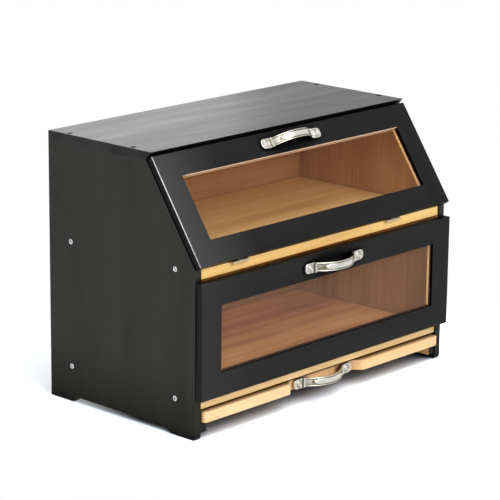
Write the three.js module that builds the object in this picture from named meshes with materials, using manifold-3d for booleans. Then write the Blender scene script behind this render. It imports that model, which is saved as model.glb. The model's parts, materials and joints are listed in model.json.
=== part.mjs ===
// A two-tier bamboo bread box: black side panels, top and doors, natural bamboo inside, two doors with clear
// panes hinged at their lower edges, and a cutting board that slides out under the bottom board.
// Millimetres, +Z up, front towards -Y. The origin is under the middle of the whole box, on the table.

import * as THREE from "three";
import { mergeVertices } from "three/addons/utils/BufferGeometryUtils.js";
import Module from "manifold-3d";

const wasm = await Module();
wasm.setup();

// Carcass: every depth is measured forward from the rear face
const overallWidth = 400;
const carcassDepth = 216;
const panelHeight = 282;
const panelThickness = 8.5;
const kneeHeight = 179.5;
const slopeTopDepth = 146.4;
const footLength = 34.5;
const archHeight = 6;
const archRun = 7.5;
const toeRadius = 4;
const topThickness = 9.5;
const topOverhang = 6.6;
const topSetback = 1.5;
const backThickness = 6;
const backDrop = 11;
const shelfThickness = 11;
const bottomThickness = 11;
const bottomTop = 42.3;
const boardFrontSetback = 2;

// Cutting board and the two runners that it rests on
const cuttingThickness = 11.5;
const cuttingSideGap = 1;
const cuttingReveal = 5;
const cuttingRearGap = 1;
const cuttingHeadroom = 2;
const cuttingCornerRadius = 5;
const notchDepth = 9.5;
const notchFloorHalf = 50;
const notchMouthHalf = 62;
const runnerWidth = 9.5;
const runnerHeight = 11.5;
const runnerFrontSetback = 1.5;

// Doors: a grooved frame of two stiles and two rails round a clear pane
const doorThickness = 8;
const doorGap = 1;
const stileWidth = 29;
const topRailHeight = 27;
const bottomRailHeight = 26;
const lowerDoorLift = 1;
const lowerDoorTopGap = 1.2;
const upperDoorTopOverrun = 0.4;
const paneThickness = 2;
const paneEdgeGap = 0.5;
const grooveWidth = 2.6;
const grooveDepth = 5;
const grooveStop = 4;

// Butt hinges with three knuckles
const leafLength = 24;
const leafWidth = 12;
const leafThickness = 1;
const barrelRadius = 1.5;
const boreRadius = 0.9;
const pinRadius = 0.6;
const plateStandoff = 0.4;
const pocketSlack = 0.5;
const upperAxisBelowDoor = 1.9;
const lowerAxisInset = 0.9;
const lowerAxisRise = 0.8;
const hingeInsets = { left: 35, right: 63 };

// Bow handles
const handleScrewSpacing = 77;
const footOuterHalf = 46.5;
const footInnerHalf = 29.8;
const footHeight = 11;
const footThickness = 2.6;
const footCornerRadius = 3.5;
const bowHalfSpan = 33;
const bowProjection = 17.5;
const bowThickness = 3;
const bowHeight = 9.4;

// Screws, magnets and the steel discs that they hold
const panelScrew = { headRadius: 2.8, headDepth: 1.7, shankRadius: 1.5, length: 26 };
const handleScrew = { headRadius: 2.2, headDepth: 1.2, shankRadius: 1.1, length: 8 };
const sideScrewInsets = { rear: 33, front: 29 };
const sideScrewLift = 2.5;
const topScrewInsets = { rear: 28, front: 24.4, side: 5.5 };
const magnetRadius = 2.5;
const magnetThickness = 3;
const strikeRadius = 3.5;
const strikeThickness = 1;
const catchDrop = 14;

// Clearances and counts
const seatGap = 0.3;
const overrun = 1;
const weldDistance = 1e-4;
const roundSegments = 20;
const cornerSegments = 5;
const bowSegments = 18;

// Derived places
const overallDepth = carcassDepth + doorGap + doorThickness + bowProjection + seatGap;
const rearY = overallDepth / 2;
const innerHalf = overallWidth / 2 - panelThickness;
const shelfTop = kneeHeight;
const shelfBottom = shelfTop - shelfThickness;
const bottomBottom = bottomTop - bottomThickness;
const cuttingTop = bottomBottom - cuttingHeadroom;
const cuttingBottom = cuttingTop - cuttingThickness;
const runnerBottom = cuttingBottom - runnerHeight;
const runnerFront = carcassDepth - runnerFrontSetback;
const cuttingRear = backThickness + cuttingRearGap;
const cuttingLength = carcassDepth + cuttingReveal - cuttingRear;
const slopeRun = carcassDepth - slopeTopDepth;
const slopeRise = panelHeight - kneeHeight;
const slopeLength = Math.hypot(slopeRun, slopeRise);
const lean = Math.atan2(slopeRun, slopeRise);
const sides = { left: -1, right: 1 };
const sideScrewDepths = { rear: sideScrewInsets.rear, front: carcassDepth - sideScrewInsets.front };
const topScrewDepths = { rear: topScrewInsets.rear, front: slopeTopDepth - topScrewInsets.front };

// The hinges stand this far in from the stiles.
const hingeXs = {
  left: stileWidth + hingeInsets.left - overallWidth / 2,
  right: overallWidth / 2 - stileWidth - hingeInsets.right,
};

// The upper hinges turn just ahead of the knee, one leaf's thickness below the shelf's top face.
const upperAxisAhead = barrelRadius + seatGap;
const upperAxis = { depth: carcassDepth + upperAxisAhead, height: shelfTop - leafThickness };
const upperAxisOut = upperAxisAhead * Math.cos(lean) - leafThickness * Math.sin(lean);
const upperAxisAlong = -upperAxisAhead * Math.sin(lean) - leafThickness * Math.cos(lean);
const upperDoorHeight = slopeLength + upperDoorTopOverrun - upperAxisAlong - upperAxisBelowDoor;

// The lower hinges turn inside the door's rear bottom corner, and their fixed leaves lie on the bottom board.
const lowerDoorBottom = bottomTop + lowerDoorLift;
const lowerAxis = { depth: carcassDepth + doorGap + lowerAxisInset, height: lowerDoorBottom + lowerAxisRise };
const lowerDoorHeight = shelfBottom - lowerDoorTopGap - lowerDoorBottom;

const finish = {
  black: new THREE.MeshStandardMaterial({ color: "#2c2c2d", roughness: 0.45, metalness: 0 }),
  bamboo: new THREE.MeshStandardMaterial({ color: "#e2bb80", roughness: 0.5, metalness: 0 }),
  acrylic: new THREE.MeshStandardMaterial({
    color: "#b8a294", roughness: 0.1, metalness: 0, transparent: true, opacity: 0.35,
  }),
  nickel: new THREE.MeshStandardMaterial({ color: "#c9c6bf", roughness: 0.3, metalness: 1 }),
  steel: new THREE.MeshStandardMaterial({ color: "#b4b4b2", roughness: 0.35, metalness: 1 }),
  blackSteel: new THREE.MeshStandardMaterial({ color: "#242424", roughness: 0.5, metalness: 0.6 }),
  magnet: new THREE.MeshStandardMaterial({ color: "#77777a", roughness: 0.4, metalness: 1 }),
};

const breadBox = new THREE.Group();
const carcass = new THREE.Group();
const upperDoor = new THREE.Group();
const lowerDoor = new THREE.Group();
const slidingBoard = new THREE.Group();
breadBox.add(carcass, upperDoor, lowerDoor, slidingBoard);
upperDoor.position.set(0, fromRear(upperAxis.depth), upperAxis.height);
upperDoor.rotation.x = -lean;
lowerDoor.position.set(0, fromRear(lowerAxis.depth), lowerAxis.height);

// The Y of a point that lies this far forward of the rear face.
function fromRear(depth) {
  return rearY - depth;
}

function toSolid(geometry, matrix = new THREE.Matrix4()) {
  const plain = new THREE.BufferGeometry();
  const source = geometry.index ? geometry.toNonIndexed() : geometry;
  plain.setAttribute("position", source.getAttribute("position").clone());
  plain.applyMatrix4(matrix);
  const merged = mergeVertices(plain, weldDistance);
  return new wasm.Manifold(new wasm.Mesh({
    numProp: 3,
    vertProperties: merged.attributes.position.array,
    triVerts: new Uint32Array(merged.index.array),
  }));
}

function toGeometry(solid) {
  const mesh = solid.getMesh();
  const geometry = new THREE.BufferGeometry();
  geometry.setAttribute("position", new THREE.BufferAttribute(mesh.vertProperties, 3));
  geometry.setIndex(new THREE.BufferAttribute(mesh.triVerts, 1));
  geometry.computeVertexNormals();
  return geometry;
}

// Cuts the tools, which may stand in another group, out of the piece, and takes them off the scene.
function carve(piece, ...tools) {
  piece.updateWorldMatrix(true, false);
  const toPiece = piece.matrixWorld.clone().invert();
  let body = toSolid(piece.geometry);
  for (const tool of tools) {
    tool.updateWorldMatrix(true, false);
    body = body.subtract(toSolid(tool.geometry, toPiece.clone().multiply(tool.matrixWorld)));
  }
  piece.geometry = toGeometry(body);
  return piece;
}

function join(...geometries) {
  const solids = geometries.map((geometry) => toSolid(geometry));
  return toGeometry(solids.reduce((sum, solid) => sum.add(solid)));
}

function place(group, name, geometry, material, [x, y, z]) {
  const mesh = new THREE.Mesh(geometry, material);
  mesh.name = name;
  mesh.position.set(x, y, z);
  group.add(mesh);
  return mesh;
}

// An unnamed cutter, which stands in a group only while it cuts.
function cut(group, geometry, [x, y, z], pieces) {
  const tool = new THREE.Mesh(geometry);
  tool.position.set(x, y, z);
  group.add(tool);
  for (const piece of pieces) carve(piece, tool);
  tool.removeFromParent();
}

// A box between two opposite corners, with its own place in the geometry.
function boxBetween(first, second) {
  const size = first.map((value, axis) => Math.abs(second[axis] - value));
  const middle = first.map((value, axis) => (second[axis] + value) / 2);
  return new THREE.BoxGeometry(...size).translate(...middle);
}

// Extrudes an outline of (depth, height) points across the box, centred on X.
function acrossX(outline, width) {
  const settings = { depth: width, bevelEnabled: false, curveSegments: cornerSegments };
  const geometry = new THREE.ExtrudeGeometry(outline, settings);
  const forward = new THREE.Vector3(0, -1, 0);
  const up = new THREE.Vector3(0, 0, 1);
  const turn = new THREE.Matrix4().makeBasis(forward, up, forward.clone().cross(up));
  return geometry.applyMatrix4(turn).translate(width / 2, 0, 0);
}

// Extrudes an outline of (x, forward) points downwards from z = 0.
function slab(outline, thickness, segments) {
  const settings = { depth: thickness, bevelEnabled: false, curveSegments: segments };
  return new THREE.ExtrudeGeometry(outline, settings).rotateX(Math.PI);
}

function rodAlongX(radius, length) {
  return new THREE.CylinderGeometry(radius, radius, length, roundSegments).rotateZ(Math.PI / 2);
}

function discAlongY(radius, thickness) {
  return new THREE.CylinderGeometry(radius, radius, thickness, roundSegments);
}

function turned(...profile) {
  return new THREE.LatheGeometry(profile.map(([x, y]) => new THREE.Vector2(x, y)), roundSegments);
}

// A countersunk screw that points down -Y from the flush head at y = 0.
function screwShape({ headRadius, headDepth, shankRadius, length }) {
  const point = shankRadius - length;
  return turned([0, -length], [shankRadius, point], [shankRadius, -headDepth], [headRadius, 0], [0, 0]);
}

function screwHole({ headRadius, headDepth, shankRadius, length }) {
  const shank = shankRadius + seatGap;
  const head = headRadius + seatGap;
  const end = -length - seatGap;
  return turned([0, end], [shank, end], [shank, -headDepth], [head, 0], [head, overrun], [0, overrun]);
}

// Drives a screw into pieces, with the outer face of its head at the given point.
function fasten(group, name, kind, material, position, turn, pieces) {
  const screw = place(group, name, screwShape(kind), material, position);
  const hole = new THREE.Mesh(screwHole(kind));
  hole.position.copy(screw.position);
  for (const mesh of [screw, hole]) mesh.rotation.set(...turn);
  group.add(hole);
  for (const piece of pieces) carve(piece, hole);
  hole.removeFromParent();
}

function sidePanelOutline() {
  const archStart = footLength + archRun;
  const outline = new THREE.Shape();
  outline.moveTo(0, 0);
  outline.lineTo(footLength, 0);
  outline.lineTo(archStart, archHeight);
  outline.lineTo(carcassDepth - archStart, archHeight);
  outline.lineTo(carcassDepth - footLength, 0);
  outline.lineTo(carcassDepth - toeRadius, 0);
  outline.absarc(carcassDepth - toeRadius, toeRadius, toeRadius, -Math.PI / 2, 0, false);
  outline.lineTo(carcassDepth, kneeHeight);
  outline.lineTo(slopeTopDepth, panelHeight);
  outline.lineTo(0, panelHeight);
  return outline;
}

function topBoardOutline() {
  const outline = new THREE.Shape();
  outline.moveTo(0, 0);
  outline.lineTo(slopeTopDepth - topSetback, 0);
  outline.lineTo(slopeTopDepth + topOverhang, topThickness);
  outline.lineTo(0, topThickness);
  return outline;
}

// A plain board between the side panels, from its rear depth to the setback behind their front edges.
function crossBoard(name, low, high) {
  const front = carcassDepth - boardFrontSetback;
  const geometry = boxBetween([-innerHalf, fromRear(front), low], [innerHalf, fromRear(backThickness), high]);
  return place(carcass, name, geometry, finish.bamboo, [0, 0, 0]);
}

function buildCarcass() {
  const panels = {};
  for (const [side, sign] of Object.entries(sides)) {
    const x = sign * (overallWidth - panelThickness) / 2;
    const shape = acrossX(sidePanelOutline(), panelThickness);
    panels[side] = place(carcass, `side_panel_${side}`, shape, finish.black, [x, rearY, 0]);
    const runner = boxBetween(
      [sign * innerHalf, fromRear(backThickness), cuttingBottom],
      [sign * (innerHalf - runnerWidth), fromRear(runnerFront), runnerBottom]);
    place(carcass, `runner_${side}`, runner, finish.bamboo, [0, 0, 0]);
  }
  const topShape = acrossX(topBoardOutline(), overallWidth);
  const top = place(carcass, "top_board", topShape, finish.black, [0, rearY, panelHeight]);
  const backShape = boxBetween(
    [-innerHalf, fromRear(backThickness), bottomBottom - backDrop], [innerHalf, rearY, panelHeight]);
  place(carcass, "back_panel", backShape, finish.bamboo, [0, 0, 0]);
  const shelf = crossBoard("middle_shelf", shelfBottom, shelfTop);
  const bottom = crossBoard("bottom_board", bottomBottom, bottomTop);
  driveCarcassScrews(panels, top, { shelf, bottom });
  return { panels, shelf };
}

function driveCarcassScrews(panels, top, boards) {
  const heights = {
    shelf: shelfTop - shelfThickness / 2 + sideScrewLift,
    bottom: bottomTop - bottomThickness / 2 + sideScrewLift,
  };
  for (const [side, sign] of Object.entries(sides)) {
    const outward = [0, 0, -sign * Math.PI / 2];
    for (const [level, height] of Object.entries(heights)) {
      for (const [end, depth] of Object.entries(sideScrewDepths)) {
        const position = [sign * overallWidth / 2, fromRear(depth), height];
        fasten(carcass, `side_screw_${side}_${level}_${end}`, panelScrew, finish.steel, position, outward,
          [panels[side], boards[level]]);
      }
    }
    for (const [end, depth] of Object.entries(topScrewDepths)) {
      const x = sign * (overallWidth / 2 - topScrewInsets.side);
      const position = [x, fromRear(depth), panelHeight + topThickness];
      const upward = [Math.PI / 2, 0, 0];
      fasten(carcass, `top_screw_${side}_${end}`, panelScrew, finish.blackSteel, position, upward,
        [top, panels[side]]);
    }
  }
}

// One leaf round an axis along X at the origin: its plate runs along +Z, and its faces look along Y.
function leafShape(knuckleSteps, plateLowY) {
  const knuckleLength = (leafLength - 2 * seatGap) / 3;
  const halfLength = leafLength / 2;
  const plateStart = barrelRadius + plateStandoff;
  const plateHighY = plateLowY + leafThickness;
  const parts = [boxBetween([-halfLength, plateLowY, plateStart], [halfLength, plateHighY, leafWidth])];
  for (const step of knuckleSteps) {
    const x = step * (knuckleLength + seatGap);
    const half = knuckleLength / 2;
    parts.push(boxBetween([x - half, plateLowY, 0], [x + half, plateHighY, plateStart + overrun]));
    parts.push(rodAlongX(barrelRadius, knuckleLength).translate(x, 0, 0));
  }
  const leaf = new THREE.Mesh(join(...parts));
  return carve(leaf, new THREE.Mesh(rodAlongX(boreRadius, leafLength + overrun))).geometry;
}

// The fixed leaf lies flat with its lower face at leafBase, behind the axis.
function fixedHinge(name, x, axis, leafBase) {
  const base = leafBase - axis.height;
  const position = [x, fromRear(axis.depth), axis.height];
  const shape = leafShape([-1, 1], -base - leafThickness);
  const leaf = place(carcass, `${name}_fixed_leaf`, shape, finish.steel, position);
  leaf.rotation.x = -Math.PI / 2;
  place(carcass, `${name}_pin`, rodAlongX(pinRadius, leafLength), finish.steel, position);
}

function shelfBed(x, shelf) {
  const half = leafLength / 2 + seatGap;
  const rear = fromRear(upperAxis.depth - leafWidth - seatGap);
  const bed = boxBetween(
    [x - half, fromRear(upperAxis.depth), upperAxis.height], [x + half, rear, shelfTop + overrun]);
  cut(carcass, bed, [0, 0, 0], [shelf]);
}

// The door leaf is let into the rear of the bottom rail. Where the axis lies above the rail's lower edge,
// a pocket clears the barrel and the fixed leaf as the door swings over them.
function doorHinge(door, side, x, bottomRail) {
  const { group, name, inset, rise, leafDrop } = door;
  const leaf = leafShape([0], inset - leafThickness);
  place(group, `${name}_hinge_${side}_door_leaf`, leaf, finish.steel, [x, 0, 0]);
  const half = leafLength / 2 + seatGap;
  const edge = -rise - overrun;
  const bed = boxBetween(
    [-half, inset - leafThickness - seatGap, edge], [half, inset + overrun, leafWidth + seatGap]);
  cut(group, bed, [x, 0, 0], [bottomRail]);
  if (rise > 0) {
    const wide = half + pocketSlack;
    const pocket = boxBetween(
      [-wide, -leafDrop - plateStandoff, edge], [wide, inset + overrun, barrelRadius + plateStandoff]);
    cut(group, pocket, [x, 0, 0], [bottomRail]);
  }
}

// A magnet let into the side panel's front edge, and the steel disc in the stile that meets it.
function doorCatch(door, side, sign, panel, stile) {
  const { group, name, inset, rise, height } = door;
  const x = sign * (overallWidth - panelThickness) / 2;
  const z = height - rise - catchDrop;
  const panelFace = inset + doorGap;
  const magnet = discAlongY(magnetRadius, magnetThickness);
  const magnetY = panelFace + seatGap + magnetThickness / 2;
  place(group, `${name}_magnet_${side}`, magnet, finish.magnet, [x, magnetY, z]);
  const magnetBed = magnetThickness + 2 * seatGap;
  const magnetHole = discAlongY(magnetRadius + seatGap, magnetBed + overrun);
  cut(group, magnetHole, [x, panelFace + (magnetBed - overrun) / 2, z], [panel]);
  const strike = discAlongY(strikeRadius, strikeThickness);
  const strikeY = inset - strikeThickness / 2;
  place(group, `${name}_door_strike_${side}`, strike, finish.steel, [x, strikeY, z]);
  const strikeBed = strikeThickness + seatGap;
  const strikeHole = discAlongY(strikeRadius + seatGap, strikeBed + overrun);
  cut(group, strikeHole, [x, inset + (overrun - strikeBed) / 2, z], [stile]);
}

// The frame of a door, in a frame with the hinge axis along X at the origin, the door's height along +Z
// and its front towards -Y. Its rear face is at y = inset, and its lower edge at z = -rise.
function doorFrame(door) {
  const { group, name, inset, rise, height } = door;
  const front = inset - doorThickness;
  const low = -rise;
  const high = height - rise;
  const openHalf = overallWidth / 2 - stileWidth;
  const middle = inset - doorThickness / 2;
  const windowLow = low + bottomRailHeight;
  const windowHigh = high - topRailHeight;
  const tongueHalf = grooveWidth / 2 - seatGap;
  const tongueEnd = openHalf + grooveDepth - seatGap;

  const stiles = {};
  for (const [side, sign] of Object.entries(sides)) {
    const shape = boxBetween([sign * openHalf, front, low], [sign * overallWidth / 2, inset, high]);
    stiles[side] = place(group, `${name}_door_stile_${side}`, shape, finish.black, [0, 0, 0]);
    const groove = boxBetween(
      [sign * (openHalf - overrun), middle - grooveWidth / 2, low + grooveStop],
      [sign * (openHalf + grooveDepth), middle + grooveWidth / 2, high - grooveStop]);
    cut(group, groove, [0, 0, 0], [stiles[side]]);
  }

  const rails = {};
  const tongueInset = grooveStop + seatGap;
  const spans = {
    bottom: { body: [low, windowLow], tongue: [low + tongueInset, windowLow - grooveDepth] },
    top: { body: [windowHigh, high], tongue: [windowHigh + grooveDepth, high - tongueInset] },
  };
  for (const [level, span] of Object.entries(spans)) {
    const body = boxBetween([-openHalf, front, span.body[0]], [openHalf, inset, span.body[1]]);
    const tongues = boxBetween(
      [-tongueEnd, middle - tongueHalf, span.tongue[0]], [tongueEnd, middle + tongueHalf, span.tongue[1]]);
    rails[level] = place(group, `${name}_door_rail_${level}`, join(body, tongues), finish.black, [0, 0, 0]);
  }
  const railGroove = boxBetween(
    [-openHalf - overrun, middle - grooveWidth / 2, windowLow - grooveDepth],
    [openHalf + overrun, middle + grooveWidth / 2, windowHigh + grooveDepth]);
  cut(group, railGroove, [0, 0, 0], [rails.bottom, rails.top]);

  const paneReach = grooveDepth - paneEdgeGap;
  const pane = boxBetween(
    [-openHalf - paneReach, middle - paneThickness / 2, windowLow - paneReach],
    [openHalf + paneReach, middle + paneThickness / 2, windowHigh + paneReach]);
  place(group, `${name}_door_pane`, pane, finish.acrylic, [0, 0, 0]);
  return { stiles, rails };
}

// A bow pull on a mounting face at y = 0, standing out towards -Y.
function handleShape() {
  const outerRadius = (bowHalfSpan ** 2 + bowProjection ** 2) / (2 * bowProjection);
  const innerRadius = outerRadius - bowThickness;
  const centre = bowProjection - outerRadius;
  const outerAngle = Math.asin(-centre / outerRadius);
  const innerAngle = Math.asin(-centre / innerRadius);
  const bow = new THREE.Shape();
  bow.absarc(0, centre, outerRadius, Math.PI - outerAngle, outerAngle, true);
  bow.absarc(0, centre, innerRadius, innerAngle, Math.PI - innerAngle, false);
  const parts = [slab(bow, bowHeight, bowSegments).translate(0, 0, bowHeight / 2)];
  for (const sign of Object.values(sides)) parts.push(footShape(sign));
  return join(...parts);
}

function footShape(sign) {
  const halfHeight = footHeight / 2;
  const corner = footOuterHalf - footCornerRadius;
  const straight = halfHeight - footCornerRadius;
  const foot = new THREE.Shape();
  foot.moveTo(footInnerHalf, -halfHeight);
  foot.lineTo(corner, -halfHeight);
  foot.absarc(corner, -straight, footCornerRadius, -Math.PI / 2, 0, false);
  foot.absarc(corner, straight, footCornerRadius, 0, Math.PI / 2, false);
  foot.lineTo(footInnerHalf, halfHeight);
  const settings = { depth: footThickness, bevelEnabled: false, curveSegments: cornerSegments };
  const geometry = new THREE.ExtrudeGeometry(foot, settings);
  if (sign < 0) geometry.rotateZ(Math.PI);
  return geometry.rotateX(Math.PI / 2);
}

function fitHandle(group, name, [x, y, z], holder) {
  const seat = y - seatGap;
  const handle = place(group, `${name}_handle`, handleShape(), finish.nickel, [x, seat, z]);
  for (const [side, sign] of Object.entries(sides)) {
    const position = [x + sign * handleScrewSpacing / 2, seat - footThickness, z];
    fasten(group, `${name}_handle_screw_${side}`, handleScrew, finish.steel, position, [Math.PI, 0, 0],
      [handle, holder]);
  }
}

function buildDoor(door, panels) {
  const { stiles, rails } = doorFrame(door);
  for (const [side, sign] of Object.entries(sides)) {
    doorHinge(door, side, hingeXs[side], rails.bottom);
    doorCatch(door, side, sign, panels[side], stiles[side]);
  }
  const handleZ = door.height - door.rise - topRailHeight / 2;
  fitHandle(door.group, `${door.name}_door`, [0, door.inset - doorThickness, handleZ], rails.top);
}

function cuttingOutline() {
  const half = innerHalf - cuttingSideGap;
  const floor = cuttingLength - notchDepth;
  const ease = (notchFloorHalf + notchMouthHalf) / 2;
  const corner = cuttingCornerRadius;
  const outline = new THREE.Shape();
  outline.moveTo(-half, 0);
  outline.lineTo(half, 0);
  outline.lineTo(half, cuttingLength - corner);
  outline.absarc(half - corner, cuttingLength - corner, corner, 0, Math.PI / 2, false);
  outline.lineTo(notchMouthHalf, cuttingLength);
  outline.bezierCurveTo(ease, cuttingLength, ease, floor, notchFloorHalf, floor);
  outline.lineTo(-notchFloorHalf, floor);
  outline.bezierCurveTo(-ease, floor, -ease, cuttingLength, -notchMouthHalf, cuttingLength);
  outline.lineTo(corner - half, cuttingLength);
  outline.absarc(corner - half, cuttingLength - corner, corner, Math.PI / 2, Math.PI, false);
  return outline;
}

function buildCuttingBoard() {
  const shape = slab(cuttingOutline(), cuttingThickness, cornerSegments);
  const position = [0, fromRear(cuttingRear), cuttingTop];
  const board = place(slidingBoard, "cutting_board", shape, finish.bamboo, position);
  const floorY = fromRear(cuttingRear + cuttingLength - notchDepth);
  fitHandle(slidingBoard, "cutting_board", [0, floorY, cuttingTop - cuttingThickness / 2], board);
}

const { panels, shelf } = buildCarcass();
for (const [side, x] of Object.entries(hingeXs)) {
  fixedHinge(`upper_hinge_${side}`, x, upperAxis, shelfTop - leafThickness);
  fixedHinge(`lower_hinge_${side}`, x, lowerAxis, bottomTop);
  shelfBed(x, shelf);
}
buildDoor({
  name: "upper", group: upperDoor, inset: upperAxisOut - doorGap, rise: -upperAxisBelowDoor,
  height: upperDoorHeight, leafDrop: 0,
}, panels);
buildDoor({
  name: "lower", group: lowerDoor, inset: lowerAxisInset, rise: lowerAxisRise,
  height: lowerDoorHeight, leafDrop: lowerAxis.height - bottomTop,
}, panels);
buildCuttingBoard();

export default breadBox;
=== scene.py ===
"""A bread box of black and bare bamboo, with two doors, bow handles and a sliding cutting board.

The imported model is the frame: every piece here is built in its metres, where its nodes stand, and rides on
one of its bodies. Sizes of the new pieces are fields in millimetres.
"""

import json
import logging
import math
from collections.abc import Callable, Iterable, Iterator
from dataclasses import dataclass, field, replace
from enum import Enum, IntEnum
from itertools import count

import bmesh
import bpy
from mathutils import Matrix, Vector


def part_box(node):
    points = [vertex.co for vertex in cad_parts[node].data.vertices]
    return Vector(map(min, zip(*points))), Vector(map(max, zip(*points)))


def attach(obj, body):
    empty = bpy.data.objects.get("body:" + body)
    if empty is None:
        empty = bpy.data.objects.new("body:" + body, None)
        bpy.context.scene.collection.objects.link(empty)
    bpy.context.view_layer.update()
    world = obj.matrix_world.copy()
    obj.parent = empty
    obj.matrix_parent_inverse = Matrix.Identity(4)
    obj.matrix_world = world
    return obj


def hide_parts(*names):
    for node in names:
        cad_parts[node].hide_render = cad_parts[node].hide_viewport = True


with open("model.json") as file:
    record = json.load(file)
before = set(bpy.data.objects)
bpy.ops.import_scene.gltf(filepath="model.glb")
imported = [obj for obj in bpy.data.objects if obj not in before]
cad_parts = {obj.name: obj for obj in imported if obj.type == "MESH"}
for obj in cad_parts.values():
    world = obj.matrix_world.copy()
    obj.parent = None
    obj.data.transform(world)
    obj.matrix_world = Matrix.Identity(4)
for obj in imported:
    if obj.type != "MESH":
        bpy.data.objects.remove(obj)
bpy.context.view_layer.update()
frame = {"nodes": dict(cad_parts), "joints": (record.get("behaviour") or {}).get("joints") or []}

MM = 0.001
MERGE = 0.001 * MM  # points nearer than this are one
CLOSE = 0.05 * MM  # planes nearer than this are one
FACING = 0.9  # the part of a normal from which a face looks that way
MOSTLY = 0.5  # the same, where rounded and sloped faces count too
FLAT_ANGLE = math.radians(1.0)  # faces that turn less are one
EASED_ANGLE = math.radians(30.0)  # edges that turn more can be rounded
SHARP_ANGLE = math.radians(38.0)  # edges that turn more are shaded sharp
CHAMFER = 1  # the segments of a chamfered edge
ROUNDING = 3  # the segments of a rounded edge
SEED_STEP = 7.31  # moves the strips from one board to the next
SIDES = {"left": -1, "right": 1}
log = logging.getLogger("bread_box")

Body = bmesh.types.BMesh
Face = bmesh.types.BMFace
Edge = bmesh.types.BMEdge
Material = bpy.types.Material
Colour = tuple[float, float, float, float]


class Signal:
    """A shader socket on which Python's operators add Math nodes."""

    def __init__(self, graph: "Graph", socket: bpy.types.NodeSocket) -> None:
        """Wraps an output socket of a node graph."""
        self.graph = graph
        self.socket = socket

    def math(self, operation: str, *others: "Signal | float") -> "Signal":
        """Adds a Math node whose first operand is this signal."""
        return self.graph.math(operation, self, *others)

    def __add__(self, other: "Signal | float") -> "Signal":
        """Returns the sum."""
        return self.math("ADD", other)

    __radd__ = __add__

    def __mul__(self, other: "Signal | float") -> "Signal":
        """Returns the product."""
        return self.math("MULTIPLY", other)

    __rmul__ = __mul__

    def __sub__(self, other: "Signal | float") -> "Signal":
        """Returns the difference."""
        return self.math("SUBTRACT", other)

    def __rsub__(self, other: float) -> "Signal":
        """Returns a number less this signal."""
        return self.graph.math("SUBTRACT", other, self)

    def __truediv__(self, other: "Signal | float") -> "Signal":
        """Returns the quotient."""
        return self.math("DIVIDE", other)

    def floor(self) -> "Signal":
        """Returns the whole part."""
        return self.math("FLOOR")

    def fraction(self) -> "Signal":
        """Returns the part after the point."""
        return self.math("FRACT")

    def distance(self) -> "Signal":
        """Returns the size without its sign."""
        return self.math("ABSOLUTE")

    def clamp(self) -> "Signal":
        """Returns the signal, kept between 0 and 1."""
        return self.math("MAXIMUM", 0.0).math("MINIMUM", 1.0)

    def fade(self, reach: float) -> "Signal":
        """Turns a distance into a mask that is 1 at none and 0 from the reach on."""
        return (1 - self / reach).math("MAXIMUM", 0.0)


class Graph:
    """A node tree that is written from Python."""

    def __init__(self, tree: bpy.types.NodeTree) -> None:
        """Empties the tree and keeps it."""
        tree.nodes.clear()
        self.tree = tree

    def add(self, kind: str, settings: dict | None = None, inputs: dict | None = None,
            output: str | int = 0) -> Signal:
        """Makes one node.

        Args:
            kind: The node's type.
            settings: Properties to set first; "stops" sets a ramp's positions and colours.
            inputs: Values or signals, by the names or numbers of the sockets.
            output: The socket to return.

        Returns:
            The chosen output.
        """
        node = self.tree.nodes.new(kind)
        for key, value in (settings or {}).items():
            if key == "stops":
                elements = node.color_ramp.elements
                for number, (position, colour) in enumerate(value):
                    element = elements[number] if number < 2 else elements.new(position)
                    element.position = position
                    element.color = colour
            else:
                setattr(node, key, value)
        for key, value in (inputs or {}).items():
            if isinstance(value, Signal):
                self.tree.links.new(value.socket, node.inputs[key])
            else:
                node.inputs[key].default_value = value
        return Signal(self, node.outputs[output]) if len(node.outputs) else None

    def other(self, signal: Signal, output: str) -> Signal:
        """Returns another output of the node that made a signal."""
        return Signal(self, signal.socket.node.outputs[output])

    def math(self, operation: str, *operands: Signal | float) -> Signal:
        """Adds a Math node."""
        return self.add("ShaderNodeMath", {"operation": operation}, dict(enumerate(operands)))

    def place(self) -> Signal:
        """Returns the place on the object, in metres."""
        return self.add("ShaderNodeTexCoord", output="Object")

    def ramp(self, share: Signal, tones: Iterable[float], colours: Iterable[Colour]) -> Signal:
        """Turns a share into a colour between those that stand at the tones."""
        return self.add("ShaderNodeValToRGB", {"stops": list(zip(tones, colours))}, {"Fac": share})

    def noise(self, place: Signal, scale: float, detail: float) -> Signal:
        """Returns a noise from 0 to 1."""
        return self.add("ShaderNodeTexNoise", inputs={"Vector": place, "Scale": scale, "Detail": detail})

    def blend(self, share: Signal, low: Colour, high: Colour | Signal) -> Signal:
        """Mixes two colours by the share of the second."""
        return self.add("ShaderNodeMix", {"data_type": "RGBA"}, {0: share, 6: low, 7: high}, 2)

    def bump(self, height: Signal, strength: float, depth: float) -> Signal:
        """Returns the normals of a relief, whose depth is in mm."""
        inputs = {"Height": height, "Strength": strength, "Distance": depth * MM}
        return self.add("ShaderNodeBump", inputs=inputs)

    def open_share(self, reach: float, low: float, high: float = 1.0, samples: int = 6) -> Signal:
        """Returns 1 where the share of open sky within a reach in mm is high, down to 0 where it is low."""
        sky = self.add("ShaderNodeAmbientOcclusion", {"samples": samples}, {"Distance": reach * MM}, "AO")
        return ((sky - low) / (high - low)).clamp()


class MaterialGraph(Graph):
    """The node tree of a new material."""

    def __init__(self, name: str) -> None:
        """Makes an empty material of that name."""
        self.material = bpy.data.materials.new(name)
        self.material.use_nodes = True
        super().__init__(self.material.node_tree)

    def close(self, inputs: dict) -> Material:
        """Adds the Principled node and the output.

        Args:
            inputs: The Principled node's values and signals.

        Returns:
            The finished material.
        """
        surface = self.add("ShaderNodeBsdfPrincipled", inputs=inputs)
        self.add("ShaderNodeOutputMaterial", inputs={"Surface": surface})
        return self.material


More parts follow.
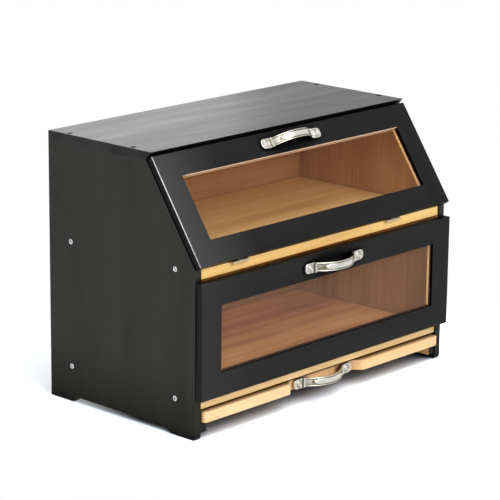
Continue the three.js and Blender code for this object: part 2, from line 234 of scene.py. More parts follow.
def grey(level: float) -> Colour:
    """Returns a neutral colour of that level."""
    return (level, level, level, 1.0)


WHITE = grey(1.0)


class Lay(Enum):
    """How a board's strips lie: the axes along the grain, across the strips and through the board."""

    FLAT = "XYZ"
    UPRIGHT = "XZY"
    STILE = "ZXY"
    SIDE = "ZYX"
    RUNNER = "YZX"


@dataclass(frozen=True)
class Grain:
    """How a board's strips lie, how far it leans back, in radians, and what tells its strips from others'."""

    lay: Lay
    lean: float
    seed: float


@dataclass(frozen=True)
class StripPattern:
    """The strips of laminated bamboo in mm, and their fibres and clouds in cells a metre."""

    strip_width: float = 6.4
    fibres_along: float = 14.0
    fibres_across: float = 950.0
    fibre_detail: float = 3.0
    clouds_along: float = 5.0
    clouds_across: float = 38.0
    cloud_detail: float = 2.0
    node_pitch: float = 260.0
    node_length: float = 2.6
    seam_width_share: float = 0.06

    def draw(self, graph: Graph, grain: Grain) -> dict[str, Signal]:
        """Adds the pattern's nodes, on Object coordinates.

        Args:
            graph: The material's node graph.
            grain: How the board's strips lie.

        Returns:
            The masks tint, fibre, cloud, node and seam, and the place along X as x.
        """
        place = graph.place()
        upright = graph.add("ShaderNodeMapping", inputs={"Vector": place, "Rotation": (grain.lean, 0.0, 0.0)})
        first = graph.add("ShaderNodeSeparateXYZ", inputs={0: upright}, output="X")
        along, across, through = (graph.other(first, axis) for axis in grain.lay.value)

        def drawn_out(long: float, cross: float, detail: float) -> Signal:
            """Returns a noise of so many cells a metre along the grain and across it."""
            cells = {"X": along * long + grain.seed, "Y": across * cross, "Z": through * cross}
            return graph.noise(graph.add("ShaderNodeCombineXYZ", inputs=cells), 1.0, detail)

        strips = across / (self.strip_width * MM) + grain.seed
        strip = strips.floor()
        tint = graph.add("ShaderNodeTexWhiteNoise", {"noise_dimensions": "1D"}, {"W": strip + grain.seed})
        shift = graph.add("ShaderNodeTexWhiteNoise", {"noise_dimensions": "1D"}, {"W": strip - grain.seed})
        turn = (along / (self.node_pitch * MM) + shift).fraction() - 0.5
        return {
            "tint": tint,
            "fibre": drawn_out(self.fibres_along, self.fibres_across, self.fibre_detail),
            "cloud": drawn_out(self.clouds_along, self.clouds_across, self.cloud_detail),
            "node": (turn.distance() * self.node_pitch).fade(self.node_length),
            "seam": (0.5 - (strips.fraction() - 0.5).distance()).fade(self.seam_width_share),
            "x": first,
        }


@dataclass(frozen=True)
class BareBamboo:
    """Bare bamboo with a satin finish, and painted shade that darkens it where it meets another piece."""

    pattern: StripPattern = StripPattern()
    dark: Colour = (0.45, 0.19, 0.05, 1.0)
    middle: Colour = (0.92, 0.57, 0.20, 1.0)
    light: Colour = (0.96, 0.71, 0.32, 1.0)
    tones: tuple[float, float, float] = (0.1, 0.52, 0.9)
    usual_tone: float = 0.62
    tint_share: float = 0.22
    fibre_share: float = 0.5
    cloud_share: float = 0.8
    node_share: float = 0.12
    seam_share: float = 0.05
    roughness: float = 0.4
    roughness_spread: float = 0.14
    relief: float = 0.12
    relief_strength: float = 0.35
    ridge_share: float = 0.5
    # painted shade: the colour that the bamboo darkens to where little sky is open, near other pieces
    painted_shade: Colour = (0.10, 0.035, 0.006, 1.0)
    painted_shade_reach: float = 7.0
    painted_shade_low: float = 0.4

    def material(self, name: str, grain: Grain) -> Material:
        """Makes the material for one board.

        Args:
            name: The material's name.
            grain: How the board's strips lie.

        Returns:
            The material.
        """
        graph = MaterialGraph(name)
        mask = self.pattern.draw(graph, grain)
        tone = (self.usual_tone + (mask["tint"] - 0.5) * self.tint_share
                + (mask["fibre"] - 0.5) * self.fibre_share + (mask["cloud"] - 0.5) * self.cloud_share
                - mask["node"] * self.node_share - mask["seam"] * self.seam_share)
        colour = graph.ramp(tone, self.tones, (self.dark, self.middle, self.light))
        # painted shade, by the share of open sky within the reach
        if self.painted_shade_reach:
            clear = graph.open_share(self.painted_shade_reach, self.painted_shade_low)
            colour = graph.blend(clear, self.painted_shade, colour)
        height = mask["fibre"] - mask["seam"] * self.ridge_share + mask["node"] * self.ridge_share
        return graph.close({
            "Base Color": colour, "Roughness": self.roughness + (mask["fibre"] - 0.5) * self.roughness_spread,
            "Normal": graph.bump(height, self.relief_strength, self.relief)})


@dataclass(frozen=True)
class BlackBamboo:
    """Bamboo stained black under a satin lacquer, with its strips just showing, and painted shade that
    darkens its colour and coat where little sky is open.

    A flare is a brighter shine from an edge at a place along X, in mm, and fades over its reach.
    """

    pattern: StripPattern = StripPattern(strip_width=19.0, fibres_across=620.0, clouds_across=30.0)
    deep: Colour = (0.0070, 0.0070, 0.0075, 1.0)
    worn: Colour = (0.0150, 0.0150, 0.0155, 1.0)
    tones: tuple[float, float] = (0.1, 0.9)
    tint_share: float = 0.25
    fibre_share: float = 0.7
    fibre_sheen_share: float = 0.5
    cloud_share: float = 0.9
    roughness: float = 0.42
    roughness_spread: float = 0.16
    specular: float = 0.09
    coat: float = 0.13
    coat_spread: float = 0.06
    coat_roughness: float = 0.24
    relief: float = 0.07
    relief_strength: float = 0.3
    fibre_relief: float = 0.5
    node_relief: float = 0.4
    seam_relief: float = 0.3
    flare: float = 0.0
    flare_edge: float = 0.0
    flare_reach: float = 85.0
    # painted shade: below this height in mm the coat fades, standing in for the dark floor that the sides
    # reflect
    painted_shade_below: float = 0.0
    # painted shade: the reach in mm, and the share of open sky below which colour and coat go black
    painted_shade_reach: float = 14.0
    painted_shade_low: float = 0.25

    def material(self, name: str, grain: Grain) -> Material:
        """Makes the material for one board.

        Args:
            name: The material's name.
            grain: How the board's strips lie.

        Returns:
            The material.
        """
        graph = MaterialGraph(name)
        mask = self.pattern.draw(graph, grain)
        usual = (mask["cloud"] - 0.5) * self.cloud_share + (mask["tint"] - 0.5) * self.tint_share
        tone = 0.5 + usual + (mask["fibre"] - 0.5) * self.fibre_share
        colour = graph.ramp(tone, self.tones, (self.deep, self.worn))
        sheen = usual + (mask["fibre"] - 0.5) * self.fibre_sheen_share
        coat = self.coat + sheen * self.coat_spread
        if self.flare:
            inward = mask["x"] / MM - self.flare_edge
            coat = coat + inward.fade(self.flare_reach) * inward.math("GREATER_THAN", 0.0) * self.flare
        # painted shade: the coat fades towards the bottom
        if self.painted_shade_below:
            rise = graph.other(mask["x"], "Z") / (self.painted_shade_below * MM)
            coat = coat * rise.math("MINIMUM", 1.0)
        # painted shade: colour and coat darken where little sky is open, as beside the doors and behind the
        # handles
        if self.painted_shade_reach:
            clear = graph.open_share(self.painted_shade_reach, self.painted_shade_low)
            colour = graph.blend(clear, grey(0.0), colour)
            coat = coat * clear
        height = (mask["fibre"] * self.fibre_relief + mask["cloud"] + mask["node"] * self.node_relief
                  - mask["seam"] * self.seam_relief)
        return graph.close({
            "Base Color": colour, "Roughness": self.roughness + sheen * self.roughness_spread,
            "Specular IOR Level": self.specular, "Coat Weight": coat, "Coat Roughness": self.coat_roughness,
            "Normal": graph.bump(height, self.relief_strength, self.relief)})


@dataclass(frozen=True)
class Metal:
    """A plated or cast metal with a fine, uneven surface, in cells a metre, and painted shade in its hollows.
    """

    name: str
    colour: Colour
    # the metal's second tone; on the handle's necks and grooves it is painted shade
    tarnish_and_shade: Colour
    tones: tuple[float, float] = (0.3, 0.62)
    metallic: float = 1.0
    roughness: float = 0.28
    roughness_spread: float = 0.16
    cells: float = 420.0
    cells_a_cloud: float = 6.0
    cast_detail: float = 3.0
    cloud_detail: float = 2.0
    relief: float = 0.04
    relief_strength: float = 0.25
    recess_reach: float = 1.6
    recess_low: float = 0.35
    recess_high: float = 0.8
    # painted shade: the colour that hollows darken to where little sky is open
    recess: Colour = (0.10, 0.09, 0.075, 1.0)

    def material(self) -> Material:
        """Makes the material.

        Returns:
            The material.
        """
        graph = MaterialGraph(self.name)
        place = graph.place()
        cast = graph.noise(place, self.cells, self.cast_detail)
        cloud = graph.noise(place, self.cells / self.cells_a_cloud, self.cloud_detail)
        colour = graph.ramp(cloud, self.tones, (self.tarnish_and_shade, self.colour))
        # painted shade in the hollows, from the share of open sky
        unshaded = graph.open_share(self.recess_reach, self.recess_low, self.recess_high)
        return graph.close({
            "Base Color": graph.blend(unshaded, self.recess, colour), "Metallic": self.metallic,
            "Roughness": self.roughness + (cast - 0.5) * self.roughness_spread,
            "Normal": graph.bump(cast, self.relief_strength, self.relief)})


@dataclass(frozen=True)
class Acrylic:
    """Clear acrylic sheet with a faint smoky tint and an uneven shine, in smears a metre."""

    name: str = "acrylic"
    colour: Colour = (0.20, 0.07, 0.03, 1.0)
    alpha: float = 0.1
    roughness: float = 0.05
    roughness_spread: float = 0.05
    smears: float = 22.0
    smear_detail: float = 2.0

    def material(self) -> Material:
        """Makes the material.

        Returns:
            The material.
        """
        graph = MaterialGraph(self.name)
        smear = graph.noise(graph.place(), self.smears, self.smear_detail)
        return graph.close({
            "Base Color": self.colour, "Roughness": self.roughness + smear * self.roughness_spread,
            "Alpha": self.alpha})


class Look(IntEnum):
    """How a face of a black board is finished, as its material index."""

    BLACK = 0
    # bare bamboo inside, darker as painted shade
    BARE = 1
    # painted shade: near-black without coat, for the shadow at the doors' rear edges and in the top's screw
    # holes
    GAP = 2
    # a painted highlight: a pale chamfer along the front edge of the upper door's left end
    WORN = 3
    # the front edges of bare faces and the upper door's lintel, paler as a partly painted highlight
    LIP = 4
    # the window's rear jambs, in the brighter front bamboo that is partly painted light
    JAMB = 5


EdgeRule = Callable[[Edge], bool]
FaceRule = Callable[[Face], Look]


def off_plane(axis: int, level: float) -> EdgeRule:
    """Makes a rule that picks the edges that don't lie in one of two planes.

    Args:
        axis: The axis that the planes are square to.
        level: Their distance from the origin, in metres.

    Returns:
        The rule.
    """
    def picks(edge: Edge) -> bool:
        """Says whether an edge leaves its plane."""
        first, second = (vertex.co[axis] for vertex in edge.verts)
        return abs(abs(first) - level) > CLOSE or abs(first - second) > CLOSE
    return picks


def copy_of(node: str) -> Body:
    """Copies a CAD node's mesh, with its triangles merged into flat faces.

    Args:
        node: The node's name.

    Returns:
        The copy.
    """
    body = bmesh.new()
    body.from_mesh(frame["nodes"][node].data)
    bmesh.ops.remove_doubles(body, verts=body.verts, dist=MERGE)
    bmesh.ops.dissolve_limit(body, angle_limit=FLAT_ANGLE, verts=body.verts, edges=body.edges)
    return body


def cut_at(body: Body, dist: float, foot: Vector, normal: Vector, **settings: bool) -> list:
    """Cuts a body's faces at the plane through a foot, and returns the points and edges in it."""
    cut = bmesh.ops.bisect_plane(body, geom=body.verts[:] + body.edges[:] + body.faces[:], dist=dist,
                                 plane_co=foot, plane_no=normal, **settings)
    return cut["geom_cut"]


def only(items: Iterable, kind: type) -> list:
    """Returns the items of one kind."""
    return [item for item in items if isinstance(item, kind)]


def ease(body: Body, width: float, picks: EdgeRule | None = None, slot: int = -1,
         segments: int = ROUNDING, least_face: float = 6.0) -> None:
    """Rounds the outer edges between faces of some size, and marks what stays sharp.

    Args:
        body: The mesh to change.
        width: How far the rounding reaches from an edge, in mm.
        picks: Picks the edges to round, or all where it is None.
        slot: The material index of the rounding, or -1 for its neighbours'.
        segments: The rounding's segments.
        least_face: Edges of smaller faces, in square mm, stay as they are.
    """
    least = least_face * MM * MM
    edges = [edge for edge in body.edges
             if edge.is_manifold and edge.calc_face_angle_signed() > EASED_ANGLE
             and min(side.calc_area() for side in edge.link_faces) > least
             and (picks is None or picks(edge))]
    bmesh.ops.bevel(body, geom=edges, offset=width * MM, offset_type="OFFSET", segments=segments, profile=0.5,
                    affect="EDGES", clamp_overlap=False, material=slot)
    for face in body.faces:
        face.smooth = True
    for edge in body.edges:
        if edge.is_manifold and edge.calc_face_angle() > SHARP_ANGLE:
            edge.smooth = False


@dataclass(frozen=True)
class Stand:
    """A CAD body's local frame: its origin in metres, and how far it leans back, in radians."""

    body: str
    lean: float = 0.0
    origin: tuple[float, float, float] = (0.0, 0.0, 0.0)

    @property
    def matrix(self) -> Matrix:
        """The matrix that brings this frame to its place in the row."""
        return Matrix.Translation(self.origin) @ Matrix.Rotation(-self.lean, 4, "X")

    def points(self, node: str) -> list[Vector]:
        """Returns a CAD node's points in this frame."""
        inverse = self.matrix.inverted()
        return [inverse @ vertex.co for vertex in frame["nodes"][node].data.vertices]

    def box(self, node: str) -> tuple[Vector, Vector]:
        """Returns the lowest and highest corner of a CAD node in this frame."""
        spans = list(zip(*self.points(node)))
        return Vector([min(span) for span in spans]), Vector([max(span) for span in spans])

    def normal(self, face: Face) -> Vector:
        """Returns a face's normal in this frame."""
        return self.matrix.inverted().to_3x3() @ face.normal

    def foot(self, height: float) -> Vector:
        """Returns the point nearest the row's origin of the plane at a height in this frame, in metres."""
        upward = self.matrix.to_3x3() @ Vector((0.0, 0.0, 1.0))
        return upward * upward.dot(self.matrix @ Vector((0.0, 0.0, height)))


def add_object(name: str, data: bpy.types.ID) -> bpy.types.Object:
    """Adds an object with some data to the scene.

    Args:
        name: The object's name.
        data: The data.

    Returns:
        The object.
    """
    added = bpy.data.objects.new(name, data)
    bpy.context.scene.collection.objects.link(added)
    return added


def add_mesh(name: str, body: Body) -> bpy.types.Object:
    """Adds an object of a finished mesh to the scene.

    Args:
        name: The name of the object and its mesh.
        body: The mesh. It is freed.

    Returns:
        The object.
    """
    mesh = bpy.data.meshes.new(name)
    body.to_mesh(mesh)
    body.free()
    return add_object(name, mesh)


def make_piece(name: str, body: Body, stand: Stand,
               materials: list[Material], stands_for: Iterable[str] = ()) -> None:
    """Makes an object of a finished mesh and hands it to the frame.

    Args:
        name: The piece's name.
        body: The mesh, in the row's metres. It is freed.
        stand: The frame of the CAD body that carries the piece.
        materials: The piece's materials, in the order of its faces' indices.
        stands_for: The CAD nodes that it replaces.
    """
    piece = add_mesh(name, body)
    for material in materials:
        piece.data.materials.append(material)
    weighted = piece.modifiers.new("weighted", "WEIGHTED_NORMAL")
    weighted.keep_sharp = True
    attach(piece, stand.body)
    if stands_for:
        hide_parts(*stands_for)
    log.info("%s rides on %s, with %d faces", name, stand.body, len(piece.data.polygons))


def dress(node: str, material: Material) -> None:
    """Gives a CAD node that stays its material.

    Args:
        node: The node's name.
        material: The material.
    """
    piece = frame["nodes"][node]
    piece.data.materials.clear()
    piece.data.materials.append(material)
    log.info("%s keeps its mesh", node)


class Outward(Enum):
    """The way a screw's head faces, as the turn that brings -Y there."""

    FRONT = Matrix.Identity(4)
    LEFT = Matrix.Rotation(math.radians(-90.0), 4, "Z")
    RIGHT = Matrix.Rotation(math.radians(90.0), 4, "Z")
    TOP = Matrix.Rotation(math.radians(-90.0), 4, "X")
    BACK = Matrix.Rotation(math.radians(180.0), 4, "Z")

    @property
    def direction(self) -> Vector:
        """The direction that the head faces."""
        return self.value.to_3x3() @ Vector((0.0, -1.0, 0.0))


@dataclass(frozen=True)
class CrossScrew:
    """A countersunk screw with a cross recess."""

    head_radius: float
    head_depth: float
    shank_radius: float
    length: float
    dome: float = 0.25
    sunk: float = 0.0
    slot_length_share: float = 0.62
    slot_width_share: float = 0.3
    recess_share: float = 0.85
    recess_taper_share: float = 0.55
    tip_taper_share: float = 0.1
    segments: int = 24

    def at(self, place: Matrix) -> Body:
        """Builds the screw in its place.

        Args:
            place: Brings the head's rim from y = 0 to its seat, and -Y to the way that it faces.

        Returns:
            The mesh, in metres.
        """
        body = bmesh.new()
        reach = self.head_radius * self.slot_length_share
        half = self.head_radius * self.slot_width_share / 2
        arm = [(reach, -half), (reach, half), (half, half)]
        quarters = ((1, 0), (0, 1), (-1, 0), (0, -1))
        cross = [(x * cos - y * sin, x * sin + y * cos) for cos, sin in quarters for x, y in arm]
        rim = bmesh.ops.create_circle(body, radius=self.head_radius, segments=self.segments)["verts"]
        rim_edges = list({edge for vertex in rim for edge in vertex.link_edges})
        corners = [body.verts.new((x, y, 0.0)) for x, y in cross]
        mouth = [body.edges.new((corners[step - 1], corner)) for step, corner in enumerate(corners)]
        bmesh.ops.triangle_fill(body, use_beauty=True, edges=rim_edges + mouth)
        for corner in corners:
            corner.co.z += self.dome
        floor = self._sink(body, mouth, self.head_depth * self.recess_share, self.recess_taper_share)
        bmesh.ops.edgeloop_fill(body, edges=floor)
        neck = self._sink(body, rim_edges, self.head_depth, self.shank_radius / self.head_radius)
        shank = self._sink(body, neck, self.length - self.head_depth - self.shank_radius, 1.0)
        tip = self._sink(body, shank, self.shank_radius, self.tip_taper_share)
        bmesh.ops.edgeloop_fill(body, edges=tip)
        bmesh.ops.recalc_face_normals(body, faces=body.faces)
        upright = Matrix.Scale(MM, 4) @ Matrix.Rotation(math.radians(90.0), 4, "X")
        bmesh.ops.transform(body, matrix=place @ upright, verts=body.verts)
        for face in body.faces:
            face.smooth = False
        return body

    @staticmethod
    def _sink(body: Body, edges: list, depth: float, taper: float) -> list:
        """Extrudes a loop of edges down and draws it in.

        Args:
            body: The mesh to change.
            edges: The loop.
            depth: How far down.
            taper: The new loop's size as a share of the old one's.

        Returns:
            The new loop's edges.
        """
        made = bmesh.ops.extrude_edge_only(body, edges=edges)["geom"]
        moved = only(made, bmesh.types.BMVert)
        bmesh.ops.translate(body, verts=moved, vec=(0.0, 0.0, -depth))
        bmesh.ops.scale(body, verts=moved, vec=(taper, taper, 1.0))
        return only(made, Edge)

    def drive(self, node: str, stand: Stand, outward: Outward, slot: str,
              material: Material, turn: float) -> None:
        """Puts a screw where a CAD screw stands.

        Args:
            node: The CAD screw that it replaces.
            stand: The frame in which the screw is square.
            outward: The way its head faces.
            slot: The record's material slot; it is not used.
            material: The material.
            turn: How far the recess is turned, in radians.
        """
        low, high = stand.box(node)
        head = (low + high) / 2
        facing = outward.direction
        for axis in range(3):
            head[axis] += facing[axis] * (high[axis] - low[axis]) / 2
        head -= facing * (self.dome + self.sunk) * MM
        place = stand.matrix @ Matrix.Translation(head) @ outward.value @ Matrix.Rotation(turn, 4, "Y")
        make_piece(node.replace("screw", "cross_screw"), self.at(place), stand, [material], [node])


class Polish(IntEnum):
    """How a part of a handle is finished, as its material index."""

    BRIGHT = 0
    # painted shade: a dark nickel in the grooves, the creases round the screws and the crescents
    HOLLOW_SHADE = 1
    # painted reflection: the darker nickel of the bow's necks, for the dark door that they reflect
    NECK_SHADE = 2


@dataclass(frozen=True)
class BowHandle:
    """A cast bow handle: two feet, each with a ring and a shoulder, and a bow with a raised pad.

    The ends of the pad, their rounding, the stretch past the seat and the crescent are in degrees of the bow.
    """

    screw_half: float = 38.5
    foot_outer: float = 46.5
    foot_inner: float = 31.5
    foot_height: float = 11.0
    foot_thickness: float = 2.5
    foot_corner: float = 4.4
    foot_corner_steps: int = 6
    foot_rise: float = 0.25
    foot_chamfer: float = 0.5
    ring_radius: float = 3.9
    ring_height: float = 0.45
    ring_chamfer: float = 0.3
    ring_root: float = 0.6
    ring_steps: int = 32
    dish_radius: float = 3.0
    dish_chamfer: tuple[float, float] = (0.25, 0.2)
    shoulder_width: float = 2.6
    shoulder_height: float = 10.6
    shoulder_thickness: float = 4.2
    shoulder_shift: float = 0.1
    half_span: float = 33.0
    projection: float = 17.3
    thickness: float = 3.0
    height: float = 9.4
    rear_chamfer: float = 0.8
    bead: float = 1.0
    bead_drop: float = 0.1
    bead_slope: float = 0.2
    bead_chamfer: tuple[float, float] = (0.5, 0.35)
    groove: float = 0.9
    groove_depth: float = 0.85
    pad_drop: float = 0.2
    pad_slope: float = 0.15
    pad_crown: tuple[float, float] = (0.05, 0.9)
    pad_end: float = 34.0
    pad_rounding: float = 7.0
    past_seat: float = 3.0
    crease: float = 0.6
    crescent: float = 4.5
    voxel: float = 0.22
    softening: float = 0.4
    soft_rounds: int = 2
    steps: int = 90
    tolerance: float = 1e-5

    @property
    def radius(self) -> float:
        """The bow's outer radius."""
        return (self.half_span ** 2 + self.projection ** 2) / (2 * self.projection)

    @property
    def pad(self) -> float:
        """Half the pad's height."""
        return self.height / 2 - self.bead - self.groove

    def _section(self) -> list[tuple[float, float]]:
        """Draws the bow's section.

        Returns:
            Points of radius and height, from its upper rear corner round the front.
        """
        half = self.height / 2
        outer = self.radius
        inner = outer - self.thickness
        floor = outer - self.groove_depth
        rise, drop = self.bead_chamfer
        sink, flat = self.pad_crown
        upper = [(inner, half - self.rear_chamfer), (inner + self.rear_chamfer, half), (outer - rise, half),
                 (outer - self.bead_drop, half - drop),
                 (outer - self.bead_drop, half - self.bead + self.bead_slope),
                 (floor, half - self.bead), (floor, self.pad + self.pad_slope),
                 (outer - self.pad_drop, self.pad - self.pad_slope),
                 (outer - sink, self.pad - flat), (outer, 0.0)]
        return upper + [(r, -z) for r, z in reversed(upper[:-1])]

    def _bow(self, body: Body) -> None:
        """Spins the bow's section, lowers the ends of its pad, and cuts it off at the seat.

        Args:
            body: The mesh to add to.
        """
        centre = self.radius - self.projection
        floor = self.radius - self.groove_depth
        reach = math.acos(centre / self.radius) + math.radians(self.past_seat)
        points = [body.verts.new((-r * math.sin(reach), centre - r * math.cos(reach), z))
                  for r, z in self._section()]
        loop = [body.edges.new((points[step - 1], point)) for step, point in enumerate(points)]
        spun = bmesh.ops.spin(body, geom=points + loop, cent=(0.0, centre, 0.0), axis=(0.0, 0.0, 1.0),
                              angle=2 * reach, steps=self.steps)
        for ends in (loop, only(spun["geom_last"], Edge)):
            bmesh.ops.edgeloop_fill(body, edges=ends)
        for vertex in body.verts:
            outward = Vector((vertex.co.x, vertex.co.y - centre, 0.0))
            bearing = math.degrees(abs(math.atan2(outward.x, -outward.y)))
            limit = self.pad_end - self.pad_rounding * (vertex.co.z / self.pad) ** 2
            if bearing > limit and outward.length > floor and abs(vertex.co.z) < self.pad:
                vertex.co -= outward.normalized() * (outward.length - floor)
        cut = cut_at(body, self.tolerance, Vector(), Vector((0.0, 1.0, 0.0)), clear_outer=True)
        bmesh.ops.holes_fill(body, edges=only(cut, Edge), sides=0)

    def _foot(self, body: Body, sign: int) -> None:
        """Builds one foot: its plate, the ring and dish round its screw, and its shoulder.

        Args:
            body: The mesh to add to.
            sign: -1 on the left, 1 on the right.
        """
        half = self.foot_height / 2
        corner = self.foot_corner
        outline = [(self.foot_inner, -half)]
        for level, first in ((corner - half, -90.0), (half - corner, 0.0)):
            for step in range(self.foot_corner_steps + 1):
                bearing = math.radians(first + step * 90.0 / self.foot_corner_steps)
                outline.append((self.foot_outer - corner + corner * math.cos(bearing),
                                level + corner * math.sin(bearing)))
        outline.append((self.foot_inner, half))
        plate = body.faces.new([body.verts.new((sign * x, 0.0, z)) for x, z in outline])
        made = bmesh.ops.extrude_face_region(body, geom=[plate])["geom"]
        front = only(made, Face)[0]
        bmesh.ops.translate(body, verts=front.verts[:], vec=(0.0, -self.foot_thickness, 0.0))
        bmesh.ops.inset_region(body, faces=[front], thickness=self.foot_chamfer, depth=0.0)
        bmesh.ops.translate(body, verts=front.verts[:], vec=(0.0, -self.foot_rise, 0.0))
        self._ring(body, sign)
        block = bmesh.ops.create_cube(body, size=1.0)["verts"]
        size = Matrix.Diagonal((self.shoulder_width, self.shoulder_thickness, self.shoulder_height, 1.0))
        middle = (sign * (self.foot_inner + self.shoulder_shift), -self.shoulder_thickness / 2, 0.0)
        bmesh.ops.transform(body, matrix=Matrix.Translation(middle) @ size, verts=block)

    def _ring(self, body: Body, sign: int) -> None:
        """Adds the ring round a foot's screw.

        Args:
            body: The mesh to add to.
            sign: -1 on the left, 1 on the right.
        """
        base = -self.foot_thickness - self.foot_rise
        root = base + self.ring_root
        crest = base - self.ring_height
        dish_width, dish_drop = self.dish_chamfer
        profile = [(self.dish_radius, root), (self.dish_radius, crest + dish_drop),
                   (self.dish_radius + dish_width, crest), (self.ring_radius - self.ring_chamfer, crest),
                   (self.ring_radius, crest + self.ring_chamfer), (self.ring_radius, root)]
        centre = (sign * self.screw_half, 0.0, 0.0)
        points = [body.verts.new((centre[0] + r, y, 0.0)) for r, y in profile]
        loop = [body.edges.new((points[step - 1], point)) for step, point in enumerate(points)]
        bmesh.ops.spin(body, geom=points + loop, cent=centre, axis=(0.0, 1.0, 0.0), angle=math.tau,
                       steps=self.ring_steps, use_merge=True)

    def shape(self) -> bpy.types.Mesh:
        """Builds the handle at the origin: its seat on y = 0, its bow towards -Y.

        Returns:
            The cast shape, in millimetres.
        """
        body = bmesh.new()
        self._bow(body)
        for sign in SIDES.values():
            self._foot(body, sign)
        bmesh.ops.recalc_face_normals(body, faces=body.faces)
        pattern = add_mesh("handle_pattern", body)
        fused = pattern.modifiers.new("fused", "REMESH")
        fused.mode = "VOXEL"
        fused.voxel_size = self.voxel
        softened = pattern.modifiers.new("softened", "SMOOTH")
        softened.factor = self.softening
        softened.iterations = self.soft_rounds
        evaluated = pattern.evaluated_get(bpy.context.evaluated_depsgraph_get())
        cast = bpy.data.meshes.new_from_object(evaluated)
        bpy.data.objects.remove(pattern)
        return cast

    def _polish(self, point: Vector) -> Polish:
        """Tells the finish of a point of the cast shape: grooves, creases round a screw and the crescents at
        the pad's ends take a dark nickel as painted shade, and the necks past them a darker nickel as painted
        reflection.

        Args:
            point: The point.

        Returns:
            The finish.
        """
        outward = Vector((point.x, point.y - self.radius + self.projection))
        if abs(point.x) > self.foot_inner - self.shoulder_width / 2:
            from_screw = math.hypot(abs(point.x) - self.screw_half, point.z)
            in_dish = self.dish_radius - self.crease < from_screw < self.dish_radius
            round_ring = self.ring_radius < from_screw < self.ring_radius + self.crease
            at_shoulder = 0.0 < abs(point.x) - self.foot_inner - self.shoulder_width / 2 < self.crease
            is_crease = point.y < -self.foot_thickness / 2 and (in_dish or round_ring or at_shoulder)
            return Polish.HOLLOW_SHADE if is_crease else Polish.BRIGHT
        if outward.length < self.radius - self.thickness / 2:
            return Polish.BRIGHT
        if abs(point.z) < self.pad:
            past = math.degrees(math.atan2(abs(outward.x), -outward.y)) - self.pad_end
            past += self.pad_rounding * (point.z / self.pad) ** 2
            return Polish.BRIGHT if past < 0 else Polish.HOLLOW_SHADE if past < self.crescent else Polish.NECK_SHADE
        in_groove = abs(point.z) < self.height / 2 - self.bead
        is_deep = outward.length < self.radius - self.groove_depth / 2
        return Polish.HOLLOW_SHADE if in_groove and is_deep else Polish.BRIGHT

    def fit(self, cast: bpy.types.Mesh, node: str, stand: Stand, materials: list[Material]) -> None:
        """Puts a handle where a CAD handle stands.

        Args:
            cast: The cast shape.
            node: The CAD handle that it replaces.
            stand: The frame in which the handle is square.
            materials: Its finishes, in the order of Polish.
        """
        low, high = stand.box(node)
        seat = Vector(((low.x + high.x) / 2, high.y, (low.z + high.z) / 2))
        body = bmesh.new()
        body.from_mesh(cast)
        for face in body.faces:
            face.smooth = True
            face.material_index = self._polish(face.calc_center_median())
        place = stand.matrix @ Matrix.Translation(seat) @ Matrix.Scale(MM, 4)
        bmesh.ops.transform(body, matrix=place, verts=body.verts)
        make_piece(node.replace("handle", "bow_handle"), body, stand, materials, [node])


